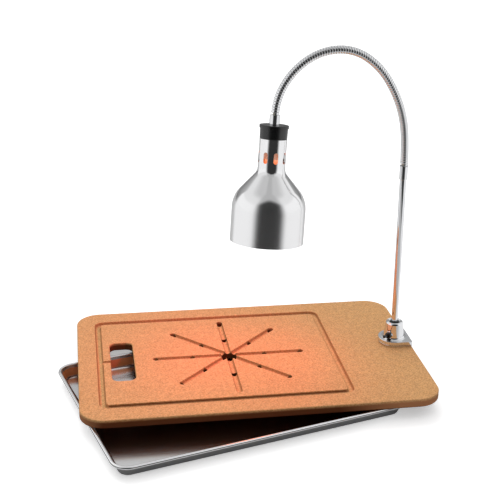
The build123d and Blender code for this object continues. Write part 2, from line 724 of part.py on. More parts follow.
def shade_block(inset):
    """The spun bell as a solid block, or the hollow inside it when inset by the sheet."""
    cone = math.atan2(SHADE_BODY_RADIUS - SHADE_NECK_RADIUS, SHADE_SHOULDER_LENGTH)
    shift = inset * math.tan(cone / 2)
    neck_end = (SHADE_NECK_RADIUS - inset, SHADE_TOP + SHADE_NECK_LENGTH + shift)
    body_start = (SHADE_BODY_RADIUS - inset, SHADE_TOP + SHADE_NECK_LENGTH + SHADE_SHOULDER_LENGTH + shift)
    return turned(
        [
            (0, SHADE_TOP + inset),
            (SHADE_NECK_RADIUS - inset, SHADE_TOP + inset),
            neck_end,
            body_start,
            (SHADE_BODY_RADIUS - inset, SHADE_MOUTH),
            (0, SHADE_MOUTH),
        ],
        [(neck_end, SHADE_COVE + inset), (body_start, SHADE_SHOULDER_ROUND - inset)],
    )


def make_shade():
    """The spun shade with its ring of vents and a folded hem at the mouth."""
    shade = shade_block(0) - shade_block(SHADE_SHEET)
    hem_outer = SHADE_BODY_RADIUS - SHADE_SHEET / 2
    shade += tube(hem_outer, SHADE_BODY_RADIUS - 2 * SHADE_SHEET, SHADE_MOUTH - SHADE_HEM_HEIGHT, SHADE_MOUTH)
    shade -= rod(NIPPLE_RADIUS + FIT_GAP, SHADE_TOP, HOLDER_TOP)
    vent = extrude(SlotOverall(VENT_HEIGHT, VENT_WIDTH), SHADE_NECK_RADIUS + SHADE_SHEET)
    for step in range(VENT_COUNT):
        turn = Rot(0, 0, VENT_TURN + step * 360 / VENT_COUNT)
        shade -= turn * Pos(0, 0, SHADE_TOP + VENT_MIDDLE) * Rot(0, 90, 0) * vent
    return shade


def make_lampholder():
    """The porcelain holder under the top of the shade, its well open to the bulb."""
    well = SHELL_RADIUS + FIT_GAP
    end = HOLDER_TOP + HOLDER_LENGTH
    holder = turned(
        [(0, HOLDER_TOP), (HOLDER_RADIUS, HOLDER_TOP), (HOLDER_MOUTH_RADIUS, end), (0, end)],
        [((HOLDER_MOUTH_RADIUS, end), HOLDER_EDGE)],
    )
    holder -= rod(well, HOLDER_FLOOR, end)
    return holder - rod(NIPPLE_RADIUS + FIT_GAP, HOLDER_TOP, HOLDER_TOP + NIPPLE_BITE)


def make_lampholder_shell():
    foot = HOLDER_FLOOR
    return tube(SHELL_RADIUS, SHELL_RADIUS - SHELL_WALL, foot, foot + SHELL_LENGTH)


def make_centre_contact():
    return rod(CONTACT_RADIUS, HOLDER_FLOOR, BULB_TOP)


def make_bulb_cap():
    """The metal screw cap of the bulb, a shell that narrows to the insulator at its end."""
    shoulder = BULB_TOP + BULB_TIP_HEIGHT
    bore = BULB_CAP_RADIUS - BULB_CAP_WALL
    return turned(
        [
            (BULB_TIP_RADIUS, shoulder),
            (BULB_CAP_RADIUS, shoulder + BULB_TIP_HEIGHT),
            (BULB_CAP_RADIUS, BULB_CAP_END),
            (bore, BULB_CAP_END),
            (bore, shoulder + BULB_TIP_HEIGHT + BULB_CAP_WALL),
            (BULB_TIP_RADIUS, shoulder + BULB_CAP_WALL),
        ]
    )


def make_bulb_tip():
    """The insulator with the end contact of the bulb."""
    shoulder = BULB_TOP + BULB_TIP_HEIGHT
    return turned(
        [
            (0, BULB_TOP),
            (BULB_TIP_RADIUS / 2, BULB_TOP),
            (BULB_TIP_RADIUS + BULB_CAP_WALL, shoulder - BULB_CAP_WALL),
            (BULB_TIP_RADIUS - FIT_GAP, shoulder),
            (BULB_TIP_RADIUS - FIT_GAP, shoulder + BULB_TIP_HEIGHT),
            (0, shoulder + BULB_TIP_HEIGHT),
        ]
    )


def bulb_block(inset):
    """The bulb's glass as a solid block: neck, flared reflector, rounded brim and domed face."""
    neck = BULB_CAP_RADIUS - BULB_CAP_WALL - FIT_GAP - inset
    foot = (0, BULB_NECK_FOOT)
    throat = (neck, BULB_CAP_END + BULB_THROAT)
    brim = (BULB_RADIUS - inset, BULB_FACE - BULB_BRIM)
    rim = (BULB_RADIUS - inset, BULB_FACE - BULB_DOME)
    tip = (0, BULB_FACE - inset)
    outline = Polyline(tip, foot, (neck, BULB_NECK_FOOT), throat, brim, rim)
    outline += TangentArc(tip, rim, tangent=(1, 0))
    rounds = [
        (throat, BULB_THROAT_ROUND + inset),
        (brim, BULB_BRIM_ROUND - inset),
        (rim, BULB_FACE_ROUND - inset),
    ]
    return spun(make_face(outline), rounds)


def make_bulb_glass():
    return bulb_block(0) - bulb_block(BULB_GLASS)


def make_bulb_stem():
    """The glass stem inside the bulb's neck, with a flare sealed to the neck."""
    foot = BULB_NECK_FOOT
    flare = BULB_CAP_RADIUS - BULB_CAP_WALL - BULB_GLASS - 2 * FIT_GAP
    return turned(
        [
            (0, foot),
            (flare, foot),
            (STEM_RADIUS, foot + STEM_LENGTH / 2),
            (STEM_RADIUS, foot + STEM_LENGTH),
            (0, foot + STEM_LENGTH),
        ],
        [((STEM_RADIUS, foot + STEM_LENGTH / 2), STEM_LENGTH / 4)],
    )


def make_filament():
    """The two support wires standing on the stem and the filament arched between them."""
    foot = BULB_NECK_FOOT + STEM_LENGTH
    half = FILAMENT_SPAN / 2
    wires = []
    for side in (-1, 1):
        base = Vector(side * SUPPORT_SPREAD, 0, foot)
        tip = Vector(side * half, 0, foot + SUPPORT_LENGTH)
        reach = tip - base
        wires.append(Plane(origin=base, z_dir=reach) * rod(SUPPORT_RADIUS, SUPPORT_RADIUS / 4, reach.length))
    top = foot + SUPPORT_LENGTH + half
    path = ThreePointArc((-half, 0, top - half), (0, 0, top), (half, 0, top - half))
    arch = sweep(Plane(origin=path @ 0, z_dir=path % 0) * Circle(FILAMENT_RADIUS), path=path)
    return arch + wires


def head_pieces():
    """The pieces of the lamp head by name, each in its own place."""
    place = head_place()
    pieces = {
        "upper_ferrule": make_upper_ferrule(),
        "head_lead": make_head_lead(),
        "head_cap": make_head_cap(),
        "head_nut": make_head_nut(),
        "shade": make_shade(),
        "lampholder": make_lampholder(),
        "lampholder_shell": make_lampholder_shell(),
        "centre_contact": make_centre_contact(),
        "bulb_cap": make_bulb_cap(),
        "bulb_tip": make_bulb_tip(),
        "bulb_glass": make_bulb_glass(),
        "bulb_stem": make_bulb_stem(),
        "bulb_filament": make_filament(),
    }
    return {name: place * piece for name, piece in pieces.items()}


def all_pieces():
    """Every piece of the station by node name."""
    pieces = {
        "drip_pan": make_drip_pan(),
        "rim_wire": make_rim_wire(),
        "carving_board": make_carving_board(),
        "base_screws": make_base_screws(),
        "base_washers": make_base_washers(),
        "base_plate": make_base_plate(),
        "lamp_pedestal": make_pedestal(),
        "cord_inlet": make_cord_inlet(),
        "terminal_block": make_terminal_block(),
        "switch_body": make_switch_body(),
        "switch_collar": make_switch_collar(),
        "switch_lever": make_switch_lever(),
        "post_bush": make_post_bush(),
        "post_tube": make_post_tube(),
        "post_nut": make_post_nut(),
        "post_collar": make_post_collar(),
        "lower_ferrule": make_lower_ferrule(),
        "post_lead": make_post_lead(),
    }
    for index in range(LINK_COUNT):
        pieces[f"neck_link_{index + 1}"] = make_neck_link(index)
        pieces[f"neck_lead_{index + 1}"] = make_neck_lead(index)
    pieces.update(head_pieces())
    return pieces


def main():
    for name, piece in all_pieces().items():
        export_step(piece, f"parts/{name}.step")


if __name__ == "__main__":
    main()
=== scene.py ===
"""Looks of a carving station with an infrared lamp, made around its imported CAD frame."""

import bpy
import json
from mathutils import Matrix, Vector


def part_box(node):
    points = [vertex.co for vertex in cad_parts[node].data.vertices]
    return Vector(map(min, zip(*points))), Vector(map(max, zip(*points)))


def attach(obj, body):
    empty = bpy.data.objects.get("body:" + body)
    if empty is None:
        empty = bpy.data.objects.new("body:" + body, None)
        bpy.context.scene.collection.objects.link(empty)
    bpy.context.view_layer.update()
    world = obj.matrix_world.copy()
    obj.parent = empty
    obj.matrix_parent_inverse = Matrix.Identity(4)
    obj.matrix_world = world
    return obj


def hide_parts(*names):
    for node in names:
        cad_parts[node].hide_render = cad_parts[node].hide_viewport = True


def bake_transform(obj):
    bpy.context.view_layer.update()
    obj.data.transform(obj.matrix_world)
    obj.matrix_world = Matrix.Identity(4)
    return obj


bl_info = {
    "name": "Infrared carving station",
    "version": (1, 0, 0),
    "blender": (4, 5, 0),
    "location": "3D View > Sidebar > Station",
    "description": "Gives the carving station its finishes, its gooseneck hose, its glow and its studio",
    "category": "Object",
}

import json
import math

import bpy
from bpy.props import FloatProperty, FloatVectorProperty, IntProperty, PointerProperty
from mathutils import Matrix, Vector

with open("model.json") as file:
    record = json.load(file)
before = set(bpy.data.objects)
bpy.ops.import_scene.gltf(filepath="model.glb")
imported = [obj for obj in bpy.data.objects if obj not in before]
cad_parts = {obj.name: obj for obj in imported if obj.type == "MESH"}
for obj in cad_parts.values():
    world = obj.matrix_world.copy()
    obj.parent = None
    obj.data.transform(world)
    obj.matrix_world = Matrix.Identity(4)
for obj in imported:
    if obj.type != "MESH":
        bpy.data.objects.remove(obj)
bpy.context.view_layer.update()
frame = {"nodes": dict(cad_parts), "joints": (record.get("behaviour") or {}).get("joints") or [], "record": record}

MM = 0.001
JOINTS = {joint["name"]: joint for joint in frame["joints"]}
SLOT_OF = {row["node"]: row["material_slot"] for row in frame["record"]["subparts"]}

# Board. Its cut walls are told apart by how far they lie from its middle along their normals: the drain star
# less than the first pair, the inner walls of the juice groove between the pairs, the outer edge more than the
# second pair.
BOARD_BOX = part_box("carving_board")
BOARD_TOP = BOARD_BOX[1].z
GROOVE_REACH = (100 * MM, 130 * MM)
EDGE_REACH = (200 * MM, 212 * MM)
WALL_SLOPE = (0.5, 0.93)  # height of the normal, from a cut wall's to the face's
FACE_DEPTH = 0.4 * MM  # down to here walls have the face's colour
CUT_DEPTH = 6 * MM  # and from here on the full painted shade
GROOVE_DEPTH = 3 * MM  # the same for the inner walls of the juice groove
EDGE_LIGHT = ((0.0, 0.9), (0.06, 0.0), (0.7, 0.0), (0.88, 1.0))  # painted light on the outer edge, by shares of its length
FLECKS = (0.4, 0.62)  # part of the fibre noise, from the face's colour to the flecks'
FACE_SHEEN = 0.5
CORE_SHEEN = 0.12
FIBRE_LAY = (0.6, 1.0, 1.0)  # flecks lie along the board
MOTTLE = 11 * MM

# Pan. Its inside lies less than the first reach from its middle along the normals, its outside more than the
# second. The tones are painted shade and painted reflections, as shares of the sheet's own brightness, on the
# bead by the height of the normal.
PAN_MIDDLE = (-51 * MM, -85.6 * MM, 0)
PAN_TURN = math.radians(-15)
PAN_REACH = (20 * MM, 60 * MM)
WALL_START = (1.5 * MM, 6 * MM)  # heights between the floor's finish and the walls'
BEAD_START = (18.5 * MM, 19.5 * MM)  # and between the walls' and the bead's
# painted highlights and a painted dark reflection on the bead, by the height of the normal
BEAD_PAINTED_REFLECTION = ((0.13, 1.25), (0.22, 0.1), (0.5, 0.1), (0.6, 1.25))
# painted shade on the outside of the walls
OUTSIDE_PAINTED_SHADE = 0.65
FLOOR_SCOUR = 0.11  # added roughness of the floor
WALL_SCOUR = 0.25  # and of the inside of the walls
PAINTED_REFLECTION_METAL = 0.45  # share of metal left under the painted reflection
GRAIN_LAY = (0.03, 1.0, 1.0)  # the grain runs along the pan
ROLLING_GRAIN = 2.5 * MM

# Middle line of the gooseneck. The headings run from upright towards the board's middle, and the leans towards
# the carver, in degrees, at the ends of its equal links.
NECK_HEADINGS = (0.8, 5.5, 20.6, 34.5, 57.2, 93, 123.6, 147.8, 176)
NECK_LEANS = (0, 0, 0, 0, 0, 0.5, 2.5, 5, 8)
NECK_RISE = 324 * MM  # up the post's axis, from its joint to the foot of the gooseneck
LINK_LENGTH = 58.3 * MM
LINK_COUNT = len(NECK_HEADINGS) - 1
LINK_STEPS = 64  # points of the drawn line in each link

# The hose is cut in the middle of each link. For each bend piece the points just past the middle of one link
# and just before the middle of the next are worked out, as shares of a link, and every bend piece is baked in
# place as it is. One bend is singled out by number, as blending it the other way round loses its place to
# rounding when all joints are at their limits.
MID_LINK = 0.5
BLEND_FROM = 0.54
BLEND_TO = 0.46
TURNED_BEND = 4

# Lamp head, measured down its axis from the end of the gooseneck
HOLDER_SKIRT = 58 * MM
BULB_NECK_FOOT = 72 * MM
BULB_STAIN_START = 93 * MM
SHADE_NECK_END = 103 * MM
SHADE_BODY = (135.5 * MM, 163.5 * MM)  # the shoulder's polish turns into the body's
BULB_FACE = 216 * MM

SHADE_ROUGH = (0.09, 0.22)  # on the shoulder and on the body
SPIN_RINGS = 1.4 * MM
RING_ROUGH = 0.025
# strength of the painted glow on the lampholder's skirt
HOLDER_PAINTED_GLOW = 0.22
BULB_GLOW = (0.6, 3.5)  # at the end of the shade's neck and at the bulb's face

# Light of the bulb: a wide beam and a spill towards the board's left end, each as the point it is aimed at, its
# full angle, the softness of its edge and its share of the lamp's power
BEAM_RADIUS = 12 * MM
BEAM_GAP = 2 * MM  # between the bulb's face and the source
BEAMS = {
    "heat_beam": ((-0.105, -0.043, BOARD_TOP), math.radians(160), 0.73, 0.47),
    "heat_spill": ((-0.4, 0.076, BOARD_TOP), math.radians(121), 1.0, 0.53),
}

# View of the photograph
CAMERA_PLACE = (-0.3094, -1.8289, BOARD_TOP + 0.9682)
CAMERA_RIGHT = (0.987, -0.1595, 0.0176)
CAMERA_UP = (0.0436, 0.3723, 0.9271)
SENSOR_WIDTH = 36  # in millimetres, as the lens is
VIEW_END = 100

# Surroundings, as directions from the object. The dark end lies round the camera, the backdrop opposite, and
# white walls between them. The angles from the front are where each is whole and where it has ended. Brightness
# goes by the height of the direction.
FRONT = Vector((-0.124, -0.992, 0))
DARK_END = (math.radians(30), math.radians(54))
BACKDROP = (math.radians(134), math.radians(126))
WALL_LEVELS = ((0.42, 1.0), (0.5, 0.86), (0.76, 0.84), (0.92, 0.6))
DARK_LEVELS = ((0.74, 0.035), (0.88, 0.5))
DARK_ARCH = 1.0  # how steeply the top of the dark end falls to its sides
BACK_LEVELS = ((0.0, 0.2), (0.2, 0.3), (0.45, 0.45), (0.65, 0.9), (0.82, 0.9), (0.92, 0.6))
OVERHEAD = (0.2, 0.8)  # heights between the low and the high light that falls on matt surfaces
LOW_LIGHT = 0.12
HIGH_LIGHT = 0.92
KEY_FROM = (-0.25, 1.0, 1.0)  # the soft light from behind

# Floor. The camera sees white paint, lifted to full white, and other rays grey paint. Mirror images see it dark
# behind the camera, more so from the near to the far distance, and lifted at the sides, from the first angle to
# the second.
FLOOR_SIDE = (math.radians(62), math.radians(84))
FLOOR_NEAR = 0.7
FLOOR_FAR = 0.95
FLOOR_PAINT = 0.55
FLOOR_WHITE = 0.9
FLOOR_LIFT = 0.42

WHOLE = (0.0, 1.0)
NOISE_MIDDLE = (0.3, 0.7)  # most of a noise pattern's values lie here

# How much finishes vary over their noise patterns
BOARD_CLOUDS = (0.93, 1.07)  # shares of the face's brightness
BOARD_ROUGH = (0.66, 0.78)
SHEET_ROUGH = (0.05, 0.1)
PLASTIC_ROUGH = (0.26, 0.36)
GLAZE_ROUGH = (0.1, 0.2)
SLEEVE_ROUGH = (0.5, 0.7)
STEM_ROUGH = (0.02, 0.06)
BULB_UNEVEN = (0.85, 1.15)  # shares of the bulb's glow


def linear(code):
    """An sRGB hex colour as linear red, green, blue and alpha."""
    parts = [int(code[place:place + 2], 16) / 255 for place in (1, 3, 5)]
    parts = [part / 12.92 if part <= 0.04045 else ((part + 0.055) / 1.055) ** 2.4 for part in parts]
    return (*parts, 1.0)


def colour(name, description, code):
    """A colour property whose default is an sRGB hex value."""
    return FloatVectorProperty(
        name=name, description=description, subtype="COLOR", size=4, min=0, max=1, default=linear(code)
    )


class StationHose(bpy.types.PropertyGroup):
    """Sizes of the wound wire that makes the gooseneck.

    The windings are half as coarse again as the real ones, so that they show.
    """

    radius: FloatProperty(
        name="Radius", description="Outside radius of the hose", default=7.45 * MM, unit="LENGTH"
    )
    turns_per_link: IntProperty(
        name="Turns per link", description="Windings along one link of the gooseneck", default=12
    )
    wire_depth: FloatProperty(
        name="Wire depth", description="Thickness of the wire across the hose's wall",
        default=2.3 * MM, unit="LENGTH",
    )
    wire_width: FloatProperty(
        name="Wire width", description="Width of the wire along the hose", default=4.35 * MM, unit="LENGTH"
    )
    steps_per_turn: IntProperty(
        name="Steps per turn", description="Points of the wire in one winding", default=36
    )
    wire_rounding: FloatProperty(
        name="Wire rounding", description="Radius of the flat wire's edges", default=0.7 * MM, unit="LENGTH"
    )
    rounding_steps: IntProperty(
        name="Rounding steps", description="Points round each edge of the wire", default=3
    )


class StationFinish(bpy.types.PropertyGroup):
    """Colours and grain of the finishes."""

    board: colour("Board", "Face of the pressed fibre board", "#DCA972")
    board_fleck: colour("Board fleck", "Darker fibres in the board", "#BA8851")
    # painted shade: the darker colour of cut walls, holes and underside
    board_painted_shade: colour("Board painted shade", "Cut walls, holes and underside of the board", "#5E341A")
    # painted light: the paler colour of the outer edge towards its ends
    board_edge_light: colour("Board edge light", "Outer edge of the board where it is rubbed", "#B07750")
    fibre: FloatProperty(
        name="Fibre", description="Width of a fibre fleck in the board", default=1.9 * MM, unit="LENGTH"
    )
    pan: colour("Pan", "Rolled sheet aluminium of the pan", "#E6E6E7")
    # painted reflection: a brown tint on the inside of the pan's walls
    pan_painted_reflection: colour("Pan film", "Baked oil on the inside of the pan's walls", "#E08A58")
    shade: colour("Shade", "Spun aluminium of the shade", "#F0F0F1")
    chrome: colour("Chrome", "Chromium plate of post, pedestal and hose", "#E6E7E9")
    plastic: colour("Plastic", "Heat-proof moulding of cap and switch", "#0B0B0C")
    porcelain: colour("Porcelain", "Glazed lampholder", "#E9E6DC")
    brass: colour("Brass", "Screw shells and contacts", "#D2AA62")
    sleeve: colour("Sleeve", "Silicone insulation of the lead", "#CFCBBF")
    steel: colour("Steel", "Zinc-plated nuts, screws and wire", "#B9BABC")
    tungsten: colour("Tungsten", "Filament of the bulb", "#77736D")
    glass: colour("Glass", "Red stain of the bulb", "#D8401C")
    silvering: colour("Silvering", "Reflector coat on the bulb's neck", "#EFCBA6")
    glow: colour("Glow", "Light of the bulb seen in the glass", "#FF8A4A")
    clear_glass: colour("Clear glass", "Stem of the bulb", "#EEF4F0")


class StationStudio(bpy.types.PropertyGroup):
    """Light and camera of the studio."""

    lens: FloatProperty(name="Lens", description="Focal length", default=76.45, unit="CAMERA")
    floor: FloatProperty(name="Floor", description="Side of the floor", default=30.0, unit="LENGTH")
    key: FloatProperty(name="Key", description="Strength of the soft light from behind", default=1.2)
    key_spread: FloatProperty(
        name="Key spread", description="Angle that the soft light fills",
        default=math.radians(50), subtype="ANGLE",
    )
    lamp: FloatProperty(name="Lamp", description="Power of the heat lamp's light", default=3.0, unit="POWER")
    lamp_colour: colour("Lamp colour", "Colour of the heat lamp's light", "#FF276C")


def add(tree, kind, inputs=(), stops=(), **settings):
    """Adds a node with its settings, its inputs and, where it has a ramp, its grey stops.

    Inputs come by name or number, or in the order of the sockets. Each takes a value, or is linked from a
    socket or from a node's first output in use.
    """
    node = tree.nodes.new(kind)
    for name, value in settings.items():
        setattr(node, name, value)
    for index, (place, grey) in enumerate(stops):
        points = node.color_ramp.elements
        point = points[index] if index < len(points) else points.new(place)
        point.position = place
        point.color = (grey, grey, grey, 1)
    for name, value in inputs.items() if isinstance(inputs, dict) else enumerate(inputs):
        if isinstance(value, bpy.types.Node):
            value = next(socket for socket in value.outputs if socket.enabled)
        if isinstance(value, bpy.types.NodeSocket):
            tree.links.new(value, node.inputs[name])
        else:
            node.inputs[name].default_value = value
    return node


def new_material(name):
    """A material and its empty tree."""
    material = bpy.data.materials.new(name)
    material.use_nodes = True
    material.node_tree.nodes.clear()
    return material, material.node_tree


# Gooseneck's middle line

def neck_direction(heading, lean):
    """Unit direction of the gooseneck from its heading and lean."""
    turn, tip = math.radians(heading), math.radians(lean)
    return Vector((-math.sin(turn) * math.cos(tip), -math.sin(tip), math.cos(turn) * math.cos(tip)))


def arc_point(start, along, onwards, share):
    """Point part of the way along a link that bends evenly from one direction to another."""
    turn = along.angle(onwards)
    across = (onwards - along * math.cos(turn)) / math.sin(turn)
    radius = LINK_LENGTH / turn
    angle = turn * share
    return start + along * (radius * math.sin(angle)) + across * (radius * (1 - math.cos(angle)))


def neck_stations():
    """Points and directions at the ends of the links, from the post to the lamp."""
    directions = [neck_direction(*pair) for pair in zip(NECK_HEADINGS, NECK_LEANS)]
    points = [Vector(JOINTS["post_swivel"]["pos_m"]) + directions[0] * NECK_RISE]
    for along, onwards in zip(directions, directions[1:]):
        points.append(arc_point(points[-1], along, onwards, 1))
    return points, directions


NECK_POINTS, NECK_DIRECTIONS = neck_stations()
HEAD_PLACE = NECK_POINTS[-1]
HEAD_AXIS = NECK_DIRECTIONS[-1]
HEAD_TURN = HEAD_AXIS.to_track_quat("Z", "X").to_matrix()


# Finishes. Each gives its name to a material, and the inputs of the material's Principled shader.

def pressed_wood_fibre(tree, place, look):
    # Wood fibre pressed in resin: warm tan, speckled with short fibres that lie along the board, and clouded
    # where the mat was denser. Cut walls and holes are matt and darkened with painted shade, the more the deeper
    # they go, and so is the underside. The outer edge is paler towards its ends as painted light, and the inner
    # walls of the juice groove take the painted shade from a shallower depth. The flecks are drawn twice as coarse
    # as the real ones, so that they show.
    lay = add(tree, "ShaderNodeMapping", {"Vector": place, "Scale": FIBRE_LAY})
    fibre = add(
        tree, "ShaderNodeTexNoise",
        {"Vector": lay, "Scale": 1 / look.fibre, "Detail": 1.0, "Roughness": 0.6},
    )
    mottle = add(tree, "ShaderNodeTexNoise", {"Vector": place, "Scale": 1 / MOTTLE, "Detail": 3.0})
    flecks = add(tree, "ShaderNodeMapRange", (fibre, *FLECKS))
    face = add(tree, "ShaderNodeMix", {0: flecks, 6: look.board, 7: look.board_fleck}, data_type="RGBA")
    clouds = add(tree, "ShaderNodeMapRange", (mottle, *NOISE_MIDDLE, *BOARD_CLOUDS))
    clouded = add(tree, "ShaderNodeVectorMath", {0: face, "Scale": clouds}, operation="SCALE")
    normal = add(tree, "ShaderNodeNewGeometry").outputs["Normal"]
    upward = add(tree, "ShaderNodeSeparateXYZ", (normal,)).outputs["Z"]
    steep = add(tree, "ShaderNodeMapRange", (upward, *WALL_SLOPE, 1.0, 0.0))
    reach = add(tree, "ShaderNodeVectorMath", (place, normal), operation="DOT_PRODUCT")
    # painted shade: walls take the darker colour the deeper they go, the juice groove's from a shallower depth,
    # and the underside takes it fully
    stain_or_painted_shade = add(
        tree, "ShaderNodeMapRange", (reach, *GROOVE_REACH, BOARD_TOP - CUT_DEPTH, BOARD_TOP - GROOVE_DEPTH)
    )
    full = add(tree, "ShaderNodeMapRange", (reach, *EDGE_REACH, stain_or_painted_shade, BOARD_TOP - CUT_DEPTH))
    spot = add(tree, "ShaderNodeSeparateXYZ", (place,)).outputs
    depth = add(tree, "ShaderNodeMapRange", (spot["Z"], full, BOARD_TOP - FACE_DEPTH, steep, 0.0))
    along = add(tree, "ShaderNodeMapRange", (spot["X"], BOARD_BOX[0].x, BOARD_BOX[1].x))
    # painted light paling the outer edge towards its ends
    edge_light = add(tree, "ShaderNodeValToRGB", (along,), stops=EDGE_LIGHT)
    lit_or_scoured = add(tree, "ShaderNodeMapRange", (reach, *EDGE_REACH, 0.0, edge_light))
    cut = add(tree, "ShaderNodeMix", {0: lit_or_scoured, 6: look.board_painted_shade, 7: look.board_edge_light}, data_type="RGBA")
    return {
        "Base Color": add(tree, "ShaderNodeMix", {0: depth, 6: clouded, 7: cut}, data_type="RGBA"),
        "Roughness": add(tree, "ShaderNodeMapRange", (mottle, *NOISE_MIDDLE, *BOARD_ROUGH)),
        "Specular IOR Level": add(tree, "ShaderNodeMapRange", (depth, *WHOLE, FACE_SHEEN, CORE_SHEEN)),
        "Normal": add(tree, "ShaderNodeBump", {"Height": fibre, "Strength": 0.3, "Distance": 0.1 * MM}),
        "IOR": 1.5,
    }


def rolled_sheet_aluminium(tree, place, look):
    # Bare rolled aluminium: bright, with a blurred mirror image that rolling grain stretches, softer on the
    # floor and softest on the inside of the walls, which carry a painted brown reflection. The bead has painted
    # highlights with a painted dark reflection along its crest, and the outside of the walls is darkened with
    # painted shade.
    lay = add(tree, "ShaderNodeMapping", {"Vector": place, "Rotation": (0, 0, PAN_TURN), "Scale": GRAIN_LAY})
    grain = add(tree, "ShaderNodeTexNoise", {"Vector": lay, "Scale": 1 / ROLLING_GRAIN, "Detail": 2.0})
    rolled = add(tree, "ShaderNodeMapRange", (grain, *NOISE_MIDDLE, *SHEET_ROUGH))
    height = add(tree, "ShaderNodeSeparateXYZ", (place,)).outputs["Z"]
    normal = add(tree, "ShaderNodeNewGeometry").outputs["Normal"]
    upward = add(tree, "ShaderNodeSeparateXYZ", (normal,)).outputs["Z"]
    centred = add(tree, "ShaderNodeVectorMath", (place, PAN_MIDDLE), operation="SUBTRACT")
    reach = add(tree, "ShaderNodeVectorMath", (centred, normal), operation="DOT_PRODUCT")
    outside = add(tree, "ShaderNodeMapRange", (reach, *PAN_REACH))
    lit_or_scoured = add(tree, "ShaderNodeMapRange", (outside, *WHOLE, WALL_SCOUR, 0.0))
    scoured = add(tree, "ShaderNodeMapRange", (height, *WALL_START, FLOOR_SCOUR, lit_or_scoured))
    # painted highlights and a painted dark line on the bead, and painted shade on the outside of the walls below
    # it
    bead_painted_reflection = add(tree, "ShaderNodeValToRGB", (upward,), stops=BEAD_PAINTED_REFLECTION)
    bead = add(tree, "ShaderNodeMapRange", (height, *BEAD_START, OUTSIDE_PAINTED_SHADE, bead_painted_reflection))
    tone = add(tree, "ShaderNodeMapRange", (outside, *WHOLE, 1.0, bead))
    sheet = add(tree, "ShaderNodeVectorMath", {0: look.pan[:3], "Scale": tone}, operation="SCALE")
    wall = add(tree, "ShaderNodeMapRange", (height, *WALL_START))
    inside = add(tree, "ShaderNodeMapRange", (outside, *WHOLE, wall, 0.0))
    # painted reflection on the inside of the walls, below the bead
    painted_reflection = add(tree, "ShaderNodeMapRange", (height, *BEAD_START, inside, 0.0))
    return {
        "Base Color": add(tree, "ShaderNodeMix", {0: painted_reflection, 6: sheet, 7: look.pan_painted_reflection}, data_type="RGBA"),
        "Metallic": add(tree, "ShaderNodeMapRange", (painted_reflection, *WHOLE, 1.0, PAINTED_REFLECTION_METAL)),
        "Roughness": add(tree, "ShaderNodeMath", (rolled, scoured), operation="ADD"),
    }


def down_head(tree, place):
    """How far a place lies down the lamp head's axis."""
    along = add(
        tree, "ShaderNodeMapping",
        {"Vector": place, "Location": HEAD_PLACE, "Rotation": HEAD_TURN.to_euler()}, vector_type="TEXTURE",
    )
    return add(tree, "ShaderNodeSeparateXYZ", (along,)).outputs["Z"]


def spun_aluminium(tree, place, look):
    # Aluminium spun over a form and buffed: bright, sharp on neck and shoulder, softer on the wide body,
    # with faint rings that the spinning tool left round the axis.
    height = down_head(tree, place)
    rings = add(
        tree, "ShaderNodeTexNoise",
        {"W": height, "Scale": 1 / SPIN_RINGS, "Detail": 2.0}, noise_dimensions="1D",
    )
    polish = add(tree, "ShaderNodeMapRange", (height, *SHADE_BODY, *SHADE_ROUGH))
    return {
        "Base Color": look.shade,
        "Metallic": 1.0,
        "Roughness": add(tree, "ShaderNodeMath", (rings, RING_ROUGH, polish), operation="MULTIPLY_ADD"),
    }


def patchy_metal(tree, place, base, patch, rough, detail=3.0, used=NOISE_MIDDLE):
    """A metal whose polish varies in patches of the given size, by the part of the noise that is used."""
    tarnish = add(tree, "ShaderNodeTexNoise", {"Vector": place, "Scale": 1 / patch, "Detail": detail})
    polish = add(tree, "ShaderNodeMapRange", (tarnish, *used, *rough))
    return {"Base Color": base, "Metallic": 1.0, "Roughness": polish}


def chromium_plate(tree, place, look):
    # Bright chromium plate over polished metal: mirror sharp, with a little handling haze.
    return patchy_metal(
        tree, place, look.chrome, patch=14 * MM, rough=(0.03, 0.1), detail=4.0, used=(0.35, 0.75)
    )


def plated_gooseneck_wire(tree, place, look):
    # Chromium-plated wire, wound into a hose: bright, a little hazier than the plate beside it.
    return patchy_metal(tree, place, look.chrome, patch=6 * MM, rough=(0.05, 0.11))


def zinc_plated_steel(tree, place, look):
    # Zinc-plated steel: grey and cloudy, duller than the chromium beside it.
    return patchy_metal(tree, place, look.steel, patch=5 * MM, rough=(0.3, 0.45))


def pressed_brass(tree, place, look):
    # Pressed brass: yellow, softly polished, tarnished in small patches.
    return patchy_metal(tree, place, look.brass, patch=4 * MM, rough=(0.18, 0.34))


def drawn_tungsten(tree, place, look):
    # Drawn tungsten wire: dark steel grey, satin from the drawing die.
    return patchy_metal(tree, place, look.tungsten, patch=1 * MM, rough=(0.35, 0.5))


def black_thermoset_moulding(tree, place, look):
    # Heat-proof thermoset moulding: near black, satin, with the faint orange-peel of its mould.
    peel = add(tree, "ShaderNodeTexNoise", {"Vector": place, "Scale": 1 / (1.2 * MM), "Detail": 2.0})
    wear = add(tree, "ShaderNodeTexNoise", {"Vector": place, "Scale": 1 / (18 * MM), "Detail": 3.0})
    return {
        "Base Color": look.plastic,
        "Roughness": add(tree, "ShaderNodeMapRange", (wear, *NOISE_MIDDLE, *PLASTIC_ROUGH)),
        "Normal": add(tree, "ShaderNodeBump", {"Height": peel, "Strength": 0.12, "Distance": 0.05 * MM}),
        "IOR": 1.6,
    }


